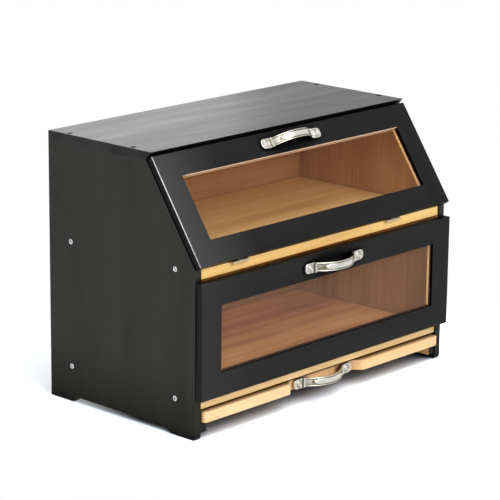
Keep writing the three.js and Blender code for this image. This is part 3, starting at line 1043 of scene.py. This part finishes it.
@dataclass
class Workshop:
    """The finishes, the handle's cast shape and the screws that the sub-assemblies share."""

    bare: BareBamboo = field(default_factory=BareBamboo)
    # partly painted light: brighter than the bare bamboo, for the shelf's front edge and the window's rear
    # jambs, making up for the shade on them
    front: BareBamboo = BareBamboo(dark=(0.54, 0.26, 0.065, 1.0), middle=(0.95, 0.62, 0.21, 1.0),
                                   light=(0.97, 0.76, 0.36, 1.0), cloud_share=0.5, node_share=0.04,
                                   painted_shade_reach=0.0)
    low_board: BareBamboo = BareBamboo(dark=(0.24, 0.08, 0.025, 1.0), middle=(0.68, 0.32, 0.11, 1.0),
                                       light=(0.93, 0.53, 0.21, 1.0), cloud_share=1.4)
    low_front: BareBamboo = BareBamboo(dark=(0.46, 0.25, 0.08, 1.0), middle=(0.78, 0.53, 0.23, 1.0),
                                       light=(0.86, 0.65, 0.34, 1.0), cloud_share=0.5, node_share=0.04,
                                       painted_shade_reach=0.0)
    # painted shade: a darker bamboo for the faces inside the box, which lie in shade
    inner: BareBamboo = BareBamboo(
        pattern=StripPattern(strip_width=17.0, fibres_across=380.0, clouds_across=24.0), relief=0.02,
        dark=(0.20, 0.085, 0.025, 1.0), middle=(0.41, 0.215, 0.075, 1.0), light=(0.56, 0.33, 0.13, 1.0),
        painted_shade_reach=0.0)
    # partly a painted highlight: a paler, pinker bamboo for the upper door's lintel and the lips of bare
    # faces
    edge: BareBamboo = BareBamboo(dark=(0.50, 0.30, 0.16, 1.0), middle=(0.84, 0.58, 0.37, 1.0),
                                  light=(0.93, 0.72, 0.52, 1.0), painted_shade_reach=0.0)
    black: BlackBamboo = field(default_factory=BlackBamboo)
    # painted highlight: an almost white finish for the chamfer that glints on the upper door's left edge
    worn: BlackBamboo = BlackBamboo(deep=(0.35, 0.35, 0.34, 1.0), worn=(0.90, 0.90, 0.88, 1.0), coat=0.1,
                                    painted_shade_reach=0.0)
    # painted shade: near-black without coat, for shadow lines beside the doors and in screw holes
    gap: BlackBamboo = BlackBamboo(deep=grey(0.0015), worn=grey(0.003), specular=0.02, coat=0.0,
                                   coat_spread=0.0)
    handle: BowHandle = field(default_factory=BowHandle)
    handle_screw: CrossScrew = CrossScrew(head_radius=2.2, head_depth=1.2, shank_radius=1.1, length=8.0,
                                          dome=0.4)
    leaf_screw: CrossScrew = CrossScrew(head_radius=1.7, head_depth=1.0, shank_radius=0.7, length=5.0,
                                        dome=0.45, recess_share=0.4, segments=20)
    leaf_screw_offset: float = 7.5
    leaf_screw_inset: float = 5.2
    lip_width: float = 0.35
    gap_shade_width: float = 1.0
    highlight_width: float = 0.7
    boards: Iterator[int] = field(default_factory=lambda: count(1))

    def __post_init__(self) -> None:
        """Makes the shared materials and the handle's shape."""
        nickel = Metal("nickel", (0.69, 0.675, 0.62, 1.0), (0.60, 0.585, 0.53, 1.0), roughness=0.24,
                       roughness_spread=0.06, relief=0.01, recess_reach=1.4,
                       recess=(0.10, 0.095, 0.07, 1.0), recess_low=0.3, recess_high=0.75)
        # painted shade: a dark nickel for the handle's grooves, creases and crescents
        hollow_shade = replace(nickel, name="hollow_shade_nickel", colour=(0.17, 0.155, 0.105, 1.0),
                          tarnish_and_shade=(0.10, 0.09, 0.06, 1.0), roughness=0.3, recess=(0.03, 0.03, 0.02, 1.0))
        # painted reflection: a darker nickel for the bow's necks, which reflect the dark door
        neck = replace(nickel, name="neck_shade_nickel", colour=(0.50, 0.48, 0.42, 1.0),
                       tarnish_and_shade=(0.20, 0.185, 0.13, 1.0), cells=900.0)
        self.handle_finishes = [nickel.material(), hollow_shade.material(), neck.material()]
        self.bright_screw = replace(nickel, name="handle_screw", recess_reach=0.5).material()
        self.steel = Metal("steel", (0.84, 0.86, 0.88, 1.0), (0.74, 0.75, 0.76, 1.0), roughness=0.3,
                           recess=(0.03, 0.03, 0.03, 1.0)).material()
        self.oxide = Metal("black_steel", grey(0.004), grey(0.008), metallic=0.0, roughness=0.75).material()
        self.plating = Metal("magnet", (0.52, 0.52, 0.53, 1.0), grey(0.42), roughness=0.2).material()
        self.brass = Metal("hinge_plating", (0.74, 0.62, 0.43, 1.0), (0.58, 0.47, 0.31, 1.0), roughness=0.45,
                           recess=(0.05, 0.04, 0.03, 1.0)).material()
        self.acrylic = Acrylic().material()
        # painted reflection: the lower pane's paler, pinker veil; it is the same acrylic as the upper pane's
        self.painted_veil_acrylic = Acrylic("painted_veil_acrylic", (0.36, 0.21, 0.15, 1.0)).material()
        self.cast = self.handle.shape()

    def bare_board(self, node: str, stand: Stand, easing: float, bamboo: BareBamboo,
                   front: BareBamboo) -> None:
        """Makes a flat, bare board with eased edges where a CAD board stands.

        Args:
            node: The CAD board that it replaces.
            stand: The frame of the body that carries it.
            easing: How far its edges are rounded, in mm.
            bamboo: Its finish.
            front: The finish of its front edge.
        """
        body = copy_of(node)
        ease(body, easing)
        body.normal_update()
        for face in body.faces:
            face.material_index = 1 if face.normal.y < -MOSTLY else 0
        grain = Grain(Lay.FLAT, stand.lean, next(self.boards) * SEED_STEP)
        finishes = {"bare": bamboo, "front": front}
        materials = [finish.material(f"{node}_{name}", grain) for name, finish in finishes.items()]
        make_piece(f"{node}_bamboo", body, stand, materials, [node])

    def black_board(self, node: str, stand: Stand, lay: Lay, easing: float, look: FaceRule,
                    black: BlackBamboo | None = None, edges: dict[Look, EdgeRule] | None = None,
                    cuts: Iterable[Vector] = ()) -> None:
        """Makes a black board, bare on some faces, with eased edges where a CAD board stands.

        Args:
            node: The CAD board that it replaces.
            stand: The frame of the body that carries it.
            lay: How its strips lie.
            easing: How far its black edges are eased, in mm.
            look: Says how a face is finished.
            black: The black finish, where it isn't the usual one.
            edges: Rules that pick the edges chamfered as a lip, as painted shade between pieces or as a
            painted highlight, and the black edges to ease, which are all of them where there is no rule.
            cuts: The feet, from the origin, of planes that part its faces, so that a finish can end there.
        """
        body = copy_of(node)
        rules = edges or {}
        for cut in cuts:
            cut_at(body, MERGE, cut, cut.normalized())
        body.normal_update()
        for face in body.faces:
            face.material_index = look(face)

        def black_edge(edge: Edge) -> bool:
            """Says whether an edge lies between black faces and is picked."""
            is_black = not any(face.material_index for face in edge.link_faces)
            return is_black and (Look.BLACK not in rules or rules[Look.BLACK](edge))

        widths = {Look.LIP: self.lip_width, Look.GAP: self.gap_shade_width, Look.WORN: self.highlight_width}
        for kind, width in widths.items():
            if kind in rules:
                ease(body, width, rules[kind], kind, CHAMFER)
        ease(body, easing, black_edge, Look.BLACK, CHAMFER if Look.LIP in rules else ROUNDING)
        grain = Grain(lay, stand.lean, next(self.boards) * SEED_STEP)
        finishes = {Look.BLACK: black or self.black, Look.BARE: self.inner, Look.GAP: self.gap,
                    Look.WORN: self.worn, Look.LIP: self.edge, Look.JAMB: self.front}
        materials = [finishes[kind].material(f"{node}_{kind.name.lower()}", grain) for kind in Look]
        make_piece(f"{node}_bamboo", body, stand, materials, [node])

    def fit_handle(self, node: str, stand: Stand, turn: float) -> None:
        """Fits a bow handle and its two screws.

        Args:
            node: The CAD handle.
            stand: The frame in which it is square.
            turn: How far the screws' recesses are turned, in radians.
        """
        self.handle.fit(self.cast, node, stand, self.handle_finishes)
        for side in SIDES:
            self.handle_screw.drive(f"{node}_screw_{side}", stand, Outward.FRONT, "steel", self.bright_screw,
                                    turn)

    def screw_leaf(self, leaf: str, stand: Stand, outward: Outward) -> None:
        """Dresses a hinge leaf and puts a screw on each side of its middle.

        Args:
            leaf: The CAD leaf.
            stand: The frame in which it is square.
            outward: The way its screws face.
        """
        dress(leaf, self.brass)
        along = Vector((0.0, 1.0, 0.0)) if outward is Outward.TOP else Vector((0.0, 0.0, 1.0))
        points = stand.points(leaf)
        far = max(point.dot(along) for point in points)
        surface = max(point.dot(outward.direction) for point in points if point.dot(along) > far - CLOSE)
        middle = sum(stand.box(leaf), Vector()).x / 2
        seat = along * (far - self.leaf_screw_inset * MM) + outward.direction * surface
        for side, sign in SIDES.items():
            head = seat + Vector((middle + sign * self.leaf_screw_offset * MM, 0.0, 0.0))
            place = stand.matrix @ Matrix.Translation(head) @ outward.value
            make_piece(f"{leaf}_screw_{side}", self.leaf_screw.at(place), stand, [self.brass])


@dataclass
class Carcass:
    """The side panels, top, back, shelf, bottom and runners, with their screws, magnets and fixed leaves."""

    shop: Workshop
    stand: Stand = Stand("carcass")
    panel_easing: float = 0.55
    board_easing: float = 0.7
    hole_facet: float = 30.0
    screw_turn: float = 0.7
    # the side panels' coat fades towards their feet as painted shade
    side_black: BlackBamboo = BlackBamboo(
        deep=(0.0090, 0.0093, 0.0072, 1.0), worn=(0.0185, 0.0190, 0.0150, 1.0),
        specular=0.06, coat=0.40, coat_spread=0.1, painted_shade_below=75.0)
    top_black: BlackBamboo = BlackBamboo(
        pattern=StripPattern(strip_width=19.0, fibres_across=620.0, clouds_along=7.0, clouds_across=55.0),
        specular=0.14, coat=0.22, coat_spread=0.6)
    panel_screw: CrossScrew = CrossScrew(head_radius=2.8, head_depth=1.7, shank_radius=1.5, length=26.0,
                                         slot_length_share=0.7, slot_width_share=0.42)
    top_screw: CrossScrew = CrossScrew(head_radius=2.0, head_depth=0.8, shank_radius=1.3, length=25.0,
                                       dome=0.1, sunk=2.2)

    def __post_init__(self) -> None:
        """Measures where the side panels' finishes end."""
        self.inner_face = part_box("middle_shelf")[1].x
        self.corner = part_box("bottom_board")[0]
        self.away_from_seam = off_plane(2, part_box("top_board")[0].z)

    def _panel_edge(self, edge: Edge) -> bool:
        """Says whether a side panel's edge is eased: at the top board and behind the doors it isn't."""
        return self.away_from_seam(edge) and all(face.normal.y > -MOSTLY for face in edge.link_faces)

    def _panel_look(self, face: Face) -> Look:
        """Leaves a side panel's inner face bare, above and behind the corner of the bottom board.

        Args:
            face: The face.

        Returns:
            Its finish.
        """
        centre = face.calc_center_median()
        is_inner = abs(abs(centre.x) - self.inner_face) < 2 * CLOSE and abs(face.normal.x) > FACING
        is_inside = centre.z > self.corner.z and centre.y > self.corner.y
        return Look.BARE if is_inner and is_inside else Look.BLACK

    def _top_look(self, face: Face) -> Look:
        """Leaves the top board's underside bare and paints shade into its screw holes."""
        is_hole = face.normal.z < FACING and face.calc_area() < self.hole_facet * MM * MM
        return Look.GAP if is_hole else Look.BARE if face.normal.z < -FACING else Look.BLACK

    def build(self) -> None:
        """Builds and dresses every piece of the carcass."""
        shop = self.shop
        cuts = [Vector((0.0, 0.0, self.corner.z)), Vector((0.0, self.corner.y, 0.0))]
        for side in SIDES:
            shop.black_board(f"side_panel_{side}", self.stand, Lay.SIDE, self.panel_easing,
                             self._panel_look, self.side_black, {Look.BLACK: self._panel_edge}, cuts)
            shop.black_board(f"runner_{side}", self.stand, Lay.RUNNER, self.panel_easing,
                             lambda face: Look.BARE if abs(face.normal.y) < FACING else Look.BLACK)
        shop.black_board("top_board", self.stand, Lay.FLAT, self.panel_easing, self._top_look,
                         self.top_black, {Look.BLACK: self.away_from_seam})
        shop.black_board("back_panel", self.stand, Lay.UPRIGHT, self.panel_easing,
                         lambda face: Look.BARE if face.normal.y < -FACING else Look.BLACK)
        shop.bare_board("middle_shelf", self.stand, self.board_easing, shop.bare, shop.front)
        shop.bare_board("bottom_board", self.stand, self.board_easing, shop.low_board, shop.low_front)
        self._screws()
        for level in ("upper", "lower"):
            for side in SIDES:
                dress(f"{level}_magnet_{side}", shop.plating)
                dress(f"{level}_hinge_{side}_pin", shop.brass)
                shop.screw_leaf(f"{level}_hinge_{side}_fixed_leaf", self.stand, Outward.TOP)

    def _screws(self) -> None:
        """Drives the screws of the side panels and the top, each turned a little further than the last."""
        turns = count(self.screw_turn, self.screw_turn)
        for side, facing in (("left", Outward.LEFT), ("right", Outward.RIGHT)):
            for end in ("rear", "front"):
                for level in ("shelf", "bottom"):
                    self.panel_screw.drive(f"side_screw_{side}_{level}_{end}", self.stand, facing, "steel",
                                           self.shop.steel, next(turns))
                self.top_screw.drive(f"top_screw_{side}_{end}", self.stand, Outward.TOP, "black_steel",
                                     self.shop.oxide, next(turns))


def lean_of(node: str) -> float:
    """Measures how far a flat CAD node leans back from upright.

    Args:
        node: The node's name.

    Returns:
        The angle, in radians.
    """
    body = copy_of(node)
    body.normal_update()
    normal = max(body.faces, key=lambda face: face.calc_area()).normal
    lean = math.atan2(abs(normal.z), abs(normal.y))
    body.free()
    return lean


@dataclass
class Door:
    """A door: stiles, rails, pane, handle, strikes and the leaves that turn with it."""

    shop: Workshop
    level: str
    lacquer: BlackBamboo
    acrylic: Material
    easing: float = 0.5
    flare_inset: float = 0.4
    screw_turn: float = 0.5

    def __post_init__(self) -> None:
        """Measures where the door stands, and its pane."""
        self.name = f"{self.level}_door"
        hinge = next(joint for joint in frame["joints"] if joint["child"] == self.name)
        self.stand = Stand(self.name, lean_of(f"{self.name}_pane"), tuple(hinge["pos_m"]))
        self.pane = self.stand.box(f"{self.name}_pane")

    def _look(self, face: Face) -> Look:
        """Leaves bare the rear, the jambs behind the pane, and the upper door's lintel; the jambs and lintel
        take brighter, paler bamboo that is partly painted light.

        Args:
            face: The face.

        Returns:
            Its finish.
        """
        low, high = self.pane
        centre = self.stand.matrix.inverted() @ face.calc_center_median()
        normal = self.stand.normal(face)
        in_window = low.x < centre.x < high.x and low.z < centre.z < high.z
        if normal.y > FACING:
            return Look.BARE
        # the upper door's lintel takes the paler bamboo, partly a painted highlight
        if in_window and self.level == "upper" and normal.z < -FACING:
            return Look.LIP
        is_jamb = in_window and abs(normal.x) > FACING and centre.y > (low.y + high.y) / 2
        return Look.JAMB if is_jamb else Look.BLACK

    def _bounds(self, edge: Edge, axis: int, sign: int) -> bool:
        """Says whether an edge bounds a face that looks along an axis of the door, or back along it."""
        return any(sign * self.stand.normal(face)[axis] > FACING for face in edge.link_faces)

    def _is_lip(self, edge: Edge) -> bool:
        """Says whether an edge is the front edge of a bare jamb or lintel."""
        return self._bounds(edge, 1, -1) and any(face.material_index for face in edge.link_faces)

    def _is_gap(self, edge: Edge) -> bool:
        """Says whether an edge is the rear edge of the door's end face."""
        ends = (face.normal.x * face.calc_center_median().x for face in edge.link_faces)
        return self._bounds(edge, 1, 1) and any(end > FACING * self.pane[1].x for end in ends)

    def _is_worn(self, edge: Edge) -> bool:
        """Says whether an edge is the front edge of the left end face."""
        return self._bounds(edge, 1, -1) and self._bounds(edge, 0, -1)

    def build(self) -> None:
        """Builds and dresses every piece of the door."""
        shop = self.shop
        name = self.name
        end_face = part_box(f"{name}_stile_left")[0].x / MM
        black = replace(self.lacquer, flare_edge=end_face + self.flare_inset)
        rules = {Look.LIP: self._is_lip, Look.BLACK: off_plane(0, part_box(f"{name}_stile_right")[0].x)}
        ends = self.stand.box(f"{name}_rail_bottom")[1].z, self.stand.box(f"{name}_rail_top")[0].z
        cuts = [self.stand.foot(height) for height in ends]
        for side in SIDES:
            stile_rules = {**rules, Look.GAP: self._is_gap}
            # the upper door's left stile takes a painted highlight along its front edge
            if self.level == "upper" and side == "left":
                stile_rules[Look.WORN] = self._is_worn
            shop.black_board(f"{name}_stile_{side}", self.stand, Lay.STILE, self.easing, self._look, black,
                             stile_rules, cuts)
            shop.screw_leaf(f"{self.level}_hinge_{side}_door_leaf", self.stand, Outward.BACK)
            dress(f"{name}_strike_{side}", shop.steel)
        for end in ("top", "bottom"):
            shop.black_board(f"{name}_rail_{end}", self.stand, Lay.UPRIGHT, self.easing, self._look, black,
                             rules)
        dress(f"{name}_pane", self.acrylic)
        shop.fit_handle(f"{name}_handle", self.stand, self.screw_turn)


@dataclass
class CuttingBoard:
    """The board that slides out under the bottom board, with its handle."""

    shop: Workshop
    stand: Stand = Stand("sliding_board")
    pale: BareBamboo = BareBamboo(dark=(0.40, 0.20, 0.075, 1.0), middle=(0.71, 0.435, 0.20, 1.0),
                                  light=(0.82, 0.565, 0.31, 1.0), cloud_share=0.6, node_share=0.05)
    easing: float = 1.1
    screw_turn: float = 0.3

    def build(self) -> None:
        """Builds and dresses every piece of the cutting board."""
        self.shop.bare_board("cutting_board", self.stand, self.easing, self.pale, self.pale)
        self.shop.fit_handle("cutting_board_handle", self.stand, self.screw_turn)


@dataclass(frozen=True)
class SoftBox:
    """A large soft lamp, aimed at the middle of the box, with its sizes in metres and its power in watts."""

    name: str
    place: tuple[float, float, float]
    width: float
    height: float
    power: float
    aim: tuple[float, float, float] = (0.0, 0.0, 0.12)

    def hang(self) -> None:
        """Adds the lamp to the scene."""
        data = bpy.data.lights.new(self.name, "AREA")
        data.shape = "RECTANGLE"
        data.size = self.width
        data.size_y = self.height
        data.energy = self.power
        turn = (Vector(self.aim) - Vector(self.place)).to_track_quat("-Z", "Y").to_matrix().to_4x4()
        add_object(self.name, data).matrix_world = Matrix.Translation(self.place) @ turn


@dataclass
class Studio:
    """The camera, the pale floor and the soft light.

    Angles are in degrees, the sensor and the shade's reach in millimetres, and all other lengths in metres.
    """

    azimuth: float = -47.2956
    elevation: float = 14.8967
    roll: float = 0.5943
    eye: tuple[float, float, float] = (-1.80448, -1.64918, 0.79670)
    focal_pixels: float = 2318.99
    photo_pixels: float = 500.0
    sensor: float = 36.0
    view_depth: float = 50.0
    floor_half: float = 4.0
    floor_lighting: float = 0.8
    # the floor's colour for camera rays: over-bright so that open floor is white, and bluish so that its
    # shade is cool; shade is a painted shadow, what the floor darkens to where little sky is open near the
    # box
    floor_tone: Colour = (1.64, 1.80, 1.98, 1.0)
    shade: Colour = (0.025, 0.05, 0.10, 1.0)
    shade_reach: float = 100.0
    shade_low: float = 0.05
    shade_high: float = 0.76
    shade_samples: int = 12
    shade_softness: float = 1.7
    glow_centre: tuple[float, float, float] = (0.05, -0.10, 0.0)
    glow_start: float = 0.26
    glow_full: float = 0.40
    world_level: float = 0.22
    lamps: tuple[SoftBox, ...] = (
        SoftBox("key", (-0.5, -2.15, 1.35), 2.0, 1.5, 54.0),
        SoftBox("side", (-2.4, -0.4, 1.5), 1.2, 0.8, 16.0),
        SoftBox("overhead", (0.0, -0.75, 2.35), 1.5, 1.5, 37.0),
        SoftBox("back", (1.06, 1.84, 0.86), 1.3, 1.0, 6.0),
    )

    def build(self) -> None:
        """Sets up the camera, the floor, the lamps, the world and the view."""
        self._camera()
        self._floor()
        for lamp in self.lamps:
            lamp.hang()
        self._world()
        bpy.context.scene.view_settings.view_transform = "Standard"

    def _camera(self) -> None:
        """Puts the camera at the photograph's viewpoint."""
        azimuth, elevation, roll = map(math.radians, (self.azimuth, self.elevation, self.roll))
        level = Vector((math.cos(azimuth), math.sin(azimuth), 0.0))
        back = Vector((math.sin(azimuth) * math.cos(elevation), -math.cos(azimuth) * math.cos(elevation),
                       math.sin(elevation)))
        upright = back.cross(level)
        right = level * math.cos(roll) + upright * math.sin(roll)
        up = upright * math.cos(roll) - level * math.sin(roll)
        data = bpy.data.cameras.new("camera")
        data.sensor_width = self.sensor
        data.lens = self.focal_pixels * self.sensor / self.photo_pixels
        data.clip_end = self.view_depth
        camera = add_object("camera", data)
        turn = Matrix((right, up, back)).transposed().to_4x4()
        camera.matrix_world = Matrix.Translation(self.eye) @ turn
        bpy.context.scene.camera = camera

    def _floor(self) -> None:
        """Lays a plain floor that looks white to the camera, keeps the box's shadow and adds a painted shadow
        near the box.
        """
        body = bmesh.new()
        bmesh.ops.create_grid(body, x_segments=1, y_segments=1, size=self.floor_half)
        floor = add_mesh("floor", body)
        graph = MaterialGraph("floor")
        seen = self._seen(graph)
        camera = graph.add("ShaderNodeLightPath", output="Is Camera Ray")
        # painted shadow: the floor's colour for the camera darkens near the box by the share of open sky
        lit = graph.open_share(self.shade_reach, self.shade_low, self.shade_high, self.shade_samples)
        soft = 1 - (1 - lit).math("POWER", self.shade_softness)
        tone = graph.blend(soft, self.shade, self.floor_tone)
        colour = graph.blend(camera, grey(self.floor_lighting), tone)
        surface = graph.add("ShaderNodeBsdfDiffuse", inputs={"Color": colour})
        ends = {0: graph.place(), 1: self.glow_centre}
        reach = graph.add("ShaderNodeVectorMath", {"operation": "DISTANCE"}, ends, "Value")
        glow = ((reach - self.glow_start) / (self.glow_full - self.glow_start)).clamp() * seen
        backdrop = graph.add("ShaderNodeEmission", inputs={"Color": WHITE, "Strength": 1.0})
        mixed = graph.add("ShaderNodeMixShader", inputs={0: glow, 1: surface, 2: backdrop})
        graph.add("ShaderNodeOutputMaterial", inputs={"Surface": mixed})
        floor.data.materials.append(graph.material)

    @staticmethod
    def _seen(graph: Graph) -> Signal:
        """Tells how a surface is looked at.

        Args:
            graph: The node graph.

        Returns:
            1 for rays from the camera, mirrors and clear things.
        """
        camera = graph.add("ShaderNodeLightPath", output="Is Camera Ray")
        glossy = graph.other(camera, "Is Glossy Ray")
        clear = graph.other(camera, "Is Transmission Ray")
        return camera.math("MAXIMUM", glossy).math("MAXIMUM", clear)

    def _world(self) -> None:
        """Makes a world that is white where it is seen and softer where it lights."""
        world = bpy.data.worlds.new("studio")
        world.use_nodes = True
        bpy.context.scene.world = world
        graph = Graph(world.node_tree)
        lighting = graph.add("ShaderNodeBackground", inputs={"Color": WHITE, "Strength": self.world_level})
        backdrop = graph.add("ShaderNodeBackground", inputs={"Color": WHITE, "Strength": 1.0})
        mixed = graph.add("ShaderNodeMixShader", inputs={0: self._seen(graph), 1: lighting, 2: backdrop})
        graph.add("ShaderNodeOutputWorld", inputs={"Surface": mixed})


def main() -> None:
    """Builds the studio and the bread box."""
    logging.basicConfig(level=logging.INFO, format="%(name)s: %(message)s")
    Studio().build()
    shop = Workshop()
    Carcass(shop).build()
    # the doors' painted shade reaches far, to darken them behind the handles' bows
    lacquer = BlackBamboo(deep=(0.0055, 0.0055, 0.0059, 1.0), worn=(0.0110, 0.0110, 0.0114, 1.0), coat=0.19,
                          specular=0.02, painted_shade_reach=38.0, painted_shade_low=0.70)
    Door(shop, "upper", replace(lacquer, coat=0.12, flare=1.0), shop.acrylic).build()
    Door(shop, "lower", replace(lacquer, flare=0.25), shop.painted_veil_acrylic).build()
    CuttingBoard(shop).build()


if __name__ == "__main__":
    main()
